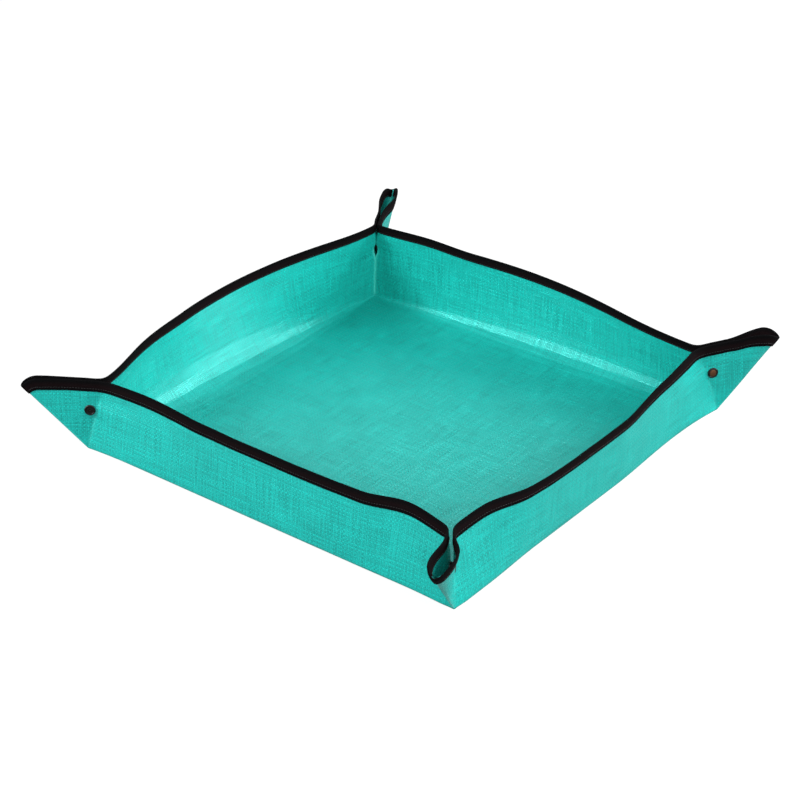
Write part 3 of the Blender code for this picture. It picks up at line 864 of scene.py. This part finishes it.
# Each lamp's place, its width and height, and its watts
LAMPS = {
    "left_softbox": ((-1.57, -2.19, 1.32), (1.0, 1.1), 68),
    "back_softbox": ((1.78, 2.05, 1.22), (1.5, 1.5), 76),
    "right_softbox": ((2.7, -0.3, 1.25), (1.6, 1.6), 36),
    "front_softbox": ((1.5, -2.2, 1.8), (1.2, 1.2), 30),
}
ROOM_LIGHT = 0.30
GROUND_REACH = 30
GROUND_GREY = (0.32, 0.32, 0.32, 1)
GROUND_GLOW = 0.76


def camera():
    """The photograph's view: a little to the right of the front and from above."""
    data = bpy.data.cameras.new("view")
    data.sensor_width = SENSOR_WIDTH
    data.lens = SENSOR_WIDTH * FOCAL_PIXELS / PICTURE_WIDTH
    data.shift_x = RIGHT_PIXELS / PICTURE_WIDTH
    data.shift_y = UP_PIXELS / PICTURE_WIDTH
    data.clip_start = 0.05
    data.clip_end = 100
    made = add_object("view", data)
    level = math.cos(VIEW_ELEVATION)
    right = Vector((math.cos(VIEW_AZIMUTH), math.sin(VIEW_AZIMUTH), 0))
    back = Vector((right.y * level, -right.x * level, math.sin(VIEW_ELEVATION)))
    up = back.cross(right)
    across = right * math.cos(VIEW_ROLL) + up * math.sin(VIEW_ROLL)
    made.rotation_mode = "QUATERNION"
    made.rotation_quaternion = Matrix((across, back.cross(across), back)).transposed().to_quaternion()
    made.location = back * VIEW_DISTANCE
    bpy.context.scene.camera = made


def lamp(name, place, size, power):
    """A soft rectangular lamp that faces the middle of the floor."""
    data = bpy.data.lights.new(name, "AREA")
    data.shape = "RECTANGLE"
    data.size, data.size_y = size
    data.energy = power
    made = add_object(name, data)
    made.location = place
    made.rotation_mode = "QUATERNION"
    made.rotation_quaternion = (-Vector(place)).to_track_quat("-Z", "Y")


def studio():
    """A white room with four lamps, and a ground that shows white and keeps the shadow."""
    scene = bpy.context.scene
    scene.view_settings.view_transform = "Standard"
    world = bpy.data.worlds.new("room")
    scene.world = world
    world.use_nodes = True
    nodes = world.node_tree.nodes
    link = world.node_tree.links.new
    rays = nodes.new("ShaderNodeLightPath")
    shown = rays.outputs["Is Camera Ray"]
    for kind in ("Is Transmission Ray", "Is Glossy Ray"):
        either = nodes.new("ShaderNodeMath")
        either.operation = "MAXIMUM"
        link(shown, either.inputs[0])
        link(rays.outputs[kind], either.inputs[1])
        shown = either.outputs[0]
    level = nodes.new("ShaderNodeMapRange")
    level.inputs["To Min"].default_value = ROOM_LIGHT
    level.inputs["To Max"].default_value = 1.0
    link(shown, level.inputs["Value"])
    link(level.outputs["Result"], nodes["Background"].inputs["Strength"])
    nodes["Background"].inputs["Color"].default_value = (1, 1, 1, 1)
    rim = [(x * GROUND_REACH, y * GROUND_REACH, 0) for x, y in ((-1, -1), (1, -1), (1, 1), (-1, 1))]
    ground = add_piece("ground", rim, [(0, 1, 2, 3)])
    g = Graph("ground")
    g.shader.inputs["Base Color"].default_value = GROUND_GREY
    g.shader.inputs["Roughness"].default_value = 1
    g.shader.inputs["Specular IOR Level"].default_value = 0
    g.shader.inputs["Emission Color"].default_value = (1, 1, 1, 1)
    seen = g.node("LightPath", "Is Camera Ray", {})
    g.link(g.math("MULTIPLY", seen, GROUND_GLOW), g.shader.inputs["Emission Strength"])
    ground.data.materials.append(g.material)
    for name, (place, size, power) in LAMPS.items():
        lamp(name, place, size, power)


# The floor's points along a side, and its slight unevenness, which fades in from its rim
FLOOR_POINTS = 90
FLOOR_UNEVEN = 0.0004
FLOOR_RIM = 0.06
FLOOR_SEED = 9


def build_floor(cloth):
    """The flat middle of the sheet, with its slight unevenness."""
    corners = [inner_corner(name) for name in ("back_left", "back_right", "front_right", "front_left")]
    shares = np.linspace(0, 1, FLOOR_POINTS)
    across, down = np.meshgrid(shares, shares)
    spots = [np.array(corner) for corner in corners]
    top = spots[0] + (spots[1] - spots[0]) * across[..., None]
    bottom = spots[3] + (spots[2] - spots[3]) * across[..., None]
    flat = top + (bottom - top) * down[..., None]
    rim = np.minimum.reduce([across, 1 - across, down, 1 - down]) * FLOOR_SIDE
    uneven = 1 + ripples(flat[..., 0], flat[..., 1], FLOOR_SEED)
    lift = FLOOR_UNEVEN * smooth_step(rim / FLOOR_RIM) * uneven
    inner = np.concatenate([flat, (SHEET + np.maximum(lift, 0))[..., None]], -1) + shift_at(flat)
    piece = shell("cloth_floor", inner, surface_normals(inner), flat, np.zeros_like(across))
    piece.data.materials.append(cloth)
    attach(piece, "floor")
    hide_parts("floor_panel")


# Depths of the section's points under the bound edge
OUTER_LEG = (TAPE_DEPTH, 0.009, 0.006, 0.003, 0)
INNER_LEG = (0.0098, 0.0075, 0.005, 0.0025, 0)
CROWN = 0.00012
ROOF_TURNS = np.linspace(0, math.pi, 7)[1:-1]
UNDER_ROOF_TURNS = np.linspace(math.pi, 0, 5)[1:-1]
SHARP_TAPE = math.radians(50)
EAR_SPACING = dict(coarse=0.0028, fine=0.0006, margin_low=0, margin_high=0.012)
WALL_SPACING = dict(coarse=0.005, fine=0.002, margin_low=0.04, margin_high=0.04)

STITCH_DEPTH = 0.0083
STITCH_PITCH = 0.0032
STITCH_LENGTH = 0.0023
STITCH_RADIUS = 0.00024
STITCH_SIDES = 6
# A stitch's rings: their places as shares of its length and their sizes as shares of its radius
STITCH_RINGS = ((-0.5, 0.35), (-0.34, 1), (0.34, 1), (0.5, 0.35))
# How much of its radius a stitch stands off the tape, and how far it starts from an ear's ends
STITCH_STAND = 0.25
STITCH_INSET = 0.004
SLOPE_STEP = 0.0004


def crown_of(depth):
    """How far the outer leg stands up in its middle."""
    return CROWN * math.sin(math.pi * depth / TAPE_DEPTH)


def roof_arc(radius, turns):
    """The tape's turn over the sheet's edge, in the section's terms."""
    return [(0, SHEET / 2 + radius * math.cos(turn), radius * math.sin(turn)) for turn in turns]


def section():
    """The folded tape's section as (depth, distance out from the inner face, rise over the edge)."""
    outer = [(depth, SEAM_OUT + crown_of(depth), 0) for depth in OUTER_LEG]
    roof = roof_arc(SEAM_OUT - SHEET / 2, ROOF_TURNS)
    inner = [(depth, -TAPE_FIT - TAPE, 0) for depth in INNER_LEG[::-1]]
    under_inner = [(depth, -TAPE_FIT, 0) for depth in INNER_LEG]
    under_roof = roof_arc(SHEET / 2 + TAPE_FIT, UNDER_ROOF_TURNS)
    under_outer = [(depth, SHEET + TAPE_FIT, 0) for depth in OUTER_LEG[::-1]]
    return outer + roof + inner + under_inner + under_roof + under_outer


def tube_faces(rings, around, offset=0, flip=False):
    """Faces of a closed tube of rings that follow each other, with its two ends."""
    faces = []
    for ring in range(rings - 1):
        for j in range(around):
            a, k = offset + ring * around, (j + 1) % around
            faces.append((a + j, a + k, a + around + k, a + around + j))
    faces.append(tuple(offset + j for j in range(around))[::-1])
    faces.append(tuple(offset + (rings - 1) * around + j for j in range(around)))
    return [face[::-1] for face in faces] if flip else faces


def stitches(strip, first, last):
    """Points and faces of the row of stitches on both faces of the tape, between two places on the edge."""
    count = max(1, round((last - first) / STITCH_PITCH))
    starts = first + (np.arange(count) + 0.5) * (last - first) / count
    places, widths = np.array(STITCH_RINGS).T
    sizes = widths * STITCH_RADIUS
    along = starts[:, None] + places * STITCH_LENGTH
    centre = strip.surface(*outline_point(along, STITCH_DEPTH))
    run = strip.surface(*outline_point(along + SLOPE_STEP, STITCH_DEPTH)) - centre
    rise = strip.surface(*outline_point(along, STITCH_DEPTH - SLOPE_STEP)) - centre
    normal = unit(np.cross(run, rise))
    rise = unit(np.cross(normal, run))
    points = []
    for out, sign in ((SEAM_OUT + crown_of(STITCH_DEPTH), 1), (-TAPE_FIT - TAPE, -1)):
        for angle in np.arange(STITCH_SIDES) * math.tau / STITCH_SIDES:
            lift = out + sign * sizes * (STITCH_STAND + math.sin(angle))
            points.append(centre + normal * lift[:, None] + rise * (sizes * math.cos(angle))[:, None])
    rings = len(STITCH_RINGS)
    points = np.array(points).reshape(2, STITCH_SIDES, count, rings, 3).transpose(0, 2, 3, 1, 4)
    faces = []
    for stitch in range(2 * count):
        faces += tube_faces(rings, STITCH_SIDES, stitch * rings * STITCH_SIDES, flip=stitch >= count)
    return points.reshape(-1, 3), faces


def tape_marks(strip):
    """Places of the tape's sections along the bound edge, and the numbers of those at the two creases."""
    end = HALF_FLOOR + WALL_SLANT - EAR_TIP_RADIUS + EAR_TIP_RADIUS * math.pi / 4
    near_crease = strip.near.foot - strip.near.draw
    far_crease = strip.far.foot - strip.far.draw
    near_marks = -stations(near_crease, end, **EAR_SPACING)[::-1]
    far_marks = stations(far_crease, end, **EAR_SPACING)
    wall_marks = stations(-near_crease, far_crease, **WALL_SPACING)
    along = np.concatenate([near_marks[:-1], wall_marks, far_marks[1:]])
    return along, len(near_marks) - 1, len(along) - len(far_marks)


def tape_loops(strip, along, shape):
    """The tape's section at each place along the edge, in the world."""
    depths = sorted({*OUTER_LEG, *INNER_LEG}, reverse=True)
    rows = np.array([strip.surface(*outline_point(along, depth)) for depth in depths])
    down = np.gradient(rows, np.array(depths), axis=0)
    normals = unit(np.cross(np.gradient(rows, axis=1), -down))
    for hand, place in ((-1, 0), (1, -1)):
        normals[:, place] = to_side(hand, strip.corner(hand).fold_normal())
    up = unit(rows[-1] - rows[-2])
    index = {depth: i for i, depth in enumerate(depths)}
    loops = [rows[index[depth]] + normals[index[depth]] * out + up * rise for depth, out, rise in shape]
    return strip.world(np.array(loops)).transpose(1, 0, 2)


def build_binding(strip, tape, thread):
    """The folded tape along one side's edge, in three pieces, with its stitching."""
    side = strip.side
    shape = section()
    along, near_split, far_split = tape_marks(strip)
    loops = tape_loops(strip, along, shape)
    last = len(along) - 1
    for hand, first, stop in ((-1, 0, near_split), (0, near_split, far_split), (1, far_split, last)):
        part = loops[first : stop + 1]
        count, around = part.shape[:2]
        faces = []
        for a in range(0, (count - 1) * around, around):
            for j in range(around):
                k = (j + 1) % around
                faces.append((a + j, a + around + j, a + around + k, a + k))
        faces.append(tuple(range(around)))
        faces.append(tuple((count - 1) * around + j for j in range(around))[::-1])
        plane = [(place, depth - rise) for place in along[first : stop + 1] for depth, out, rise in shape]
        corner = strip.corner(hand) if hand else None
        seam_points, seam_faces = stitches(
            strip,
            along[first] + (STITCH_INSET if hand < 0 else 0),
            along[stop] - (STITCH_INSET if hand > 0 else 0),
        )
        plane += [(0, 0)] * len(seam_points)
        points = np.concatenate([part.reshape(-1, 3), strip.world(seam_points)])
        shown = faces + [tuple(count * around + k for k in face) for face in seam_faces]
        piece = add_piece(f"tape_{corner.name}_{side}" if corner else f"tape_{side}", points, shown)
        mesh = piece.data
        loop_points = np.zeros(len(mesh.loops), np.int32)
        mesh.loops.foreach_get("vertex_index", loop_points)
        set_flat(mesh, np.array(plane)[loop_points])
        mesh.materials.append(tape)
        mesh.materials.append(thread)
        slots = np.zeros(len(mesh.polygons), np.int32)
        slots[len(faces) :] = 1
        mesh.polygons.foreach_set("material_index", slots)
        mesh.shade_smooth()
        mesh.set_sharp_from_angle(angle=SHARP_TAPE)
        if corner:
            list(corner.crease_zone(hand))
            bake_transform(piece)
            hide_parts(f"binding_{corner.name}_{side}")
        else:
            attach(piece, "wall_" + side)
            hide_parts("binding_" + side)


def build_cloth(strip, cloth):
    """One side's wall and the halves of its two ears."""
    side = strip.side
    made = build_strip(strip)
    middle, wide = made["middle"], made["wide"]
    x, v = made["wall_flat"]
    points, normals = strip.world(made["wall"]), strip.world(made["wall_normals"])
    wall = shell("cloth_wall_" + side, points, normals, strip.flat(x, v), wear_and_highlight_of(strip, x, v))
    wall.data.materials.append(cloth)
    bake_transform(wall)
    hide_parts("wall_" + side)
    for hand, columns in ((-1, slice(0, wide + 1)), (1, slice(middle.stop - 1, None))):
        corner = strip.corner(hand)
        x, v = (part[:, columns] for part in made["full_flat"])
        points = strip.world(made["full"][:, columns])
        normals = strip.world(made["full_normals"][:, columns])
        name = f"cloth_ear_{corner.name}_{side}"
        half = shell(name, points, normals, strip.flat(x, v), wear_and_highlight_of(strip, x, v))
        half.data.materials.append(cloth)
        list(corner.crease_zone(hand))
        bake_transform(half)
        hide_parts(f"ear_{corner.name}_{side}")


# The stud's pressed end: its size, and its profile as shares of its radius and its height
BORE_RADIUS = 0.0015
BORE_HEIGHT = 0.0006
BORE_PROFILE = ((1, 0), (1, 0.4), (0.7, 1), (0.35, 0.5))
BORE_SIDES = 20
SHARP_BORE = math.radians(40)


def build_bore(name, corner, finish):
    """The stud's pressed end, seen down the eyelet's hollow."""
    centre, axis = corner.snap_centre()
    share = corner.snap_angle / corner.spread
    high = corner.snap_reach / corner.length
    gap = FOLD_GAP + high * (PINCH_HALF_GAP * (1 - share) + TIP_HALF_GAP * share)
    seat = gap * math.cos(corner.swing) + SHEET
    turn = axis.to_track_quat("Z", "X").to_matrix()
    points = []
    for wide, tall in BORE_PROFILE:
        radius = BORE_RADIUS * wide
        for i in range(BORE_SIDES):
            angle = math.tau * i / BORE_SIDES
            spot = Vector((radius * math.cos(angle), radius * math.sin(angle), seat + BORE_HEIGHT * tall))
            points.append(centre + turn @ spot)
    piece = add_piece(f"snap_{name}_bore", points, tube_faces(len(BORE_PROFILE), BORE_SIDES))
    piece.data.shade_smooth()
    piece.data.set_sharp_from_angle(angle=SHARP_BORE)
    piece.data.materials.append(finish)
    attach(piece, f"ear_{name}_{CORNERS[name][1]}")


def finish_snaps():
    """Gives every packed snap piece its plated metal."""
    for name, corner in CORNER.items():
        cap = snap_material(f"snap_cap_{name}", corner, WORN_COPPER, 0.85)
        dark = snap_material(f"snap_dark_{name}", corner, WORN_BLACK, 0.8)
        for kind in ("cap", "socket", "stud", "eyelet"):
            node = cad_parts[f"snap_{name}_{kind}"]
            for slot in node.material_slots:
                slot.material = cap if kind == "cap" else dark
        build_bore(name, corner, dark)


camera()
studio()
cloth = cloth_material()
tape = tape_material()
thread = thread_material()
build_floor(cloth)
for side in SIDES:
    strip = Strip(side)
    build_cloth(strip, cloth)
    build_binding(strip, tape, thread)
finish_snaps()
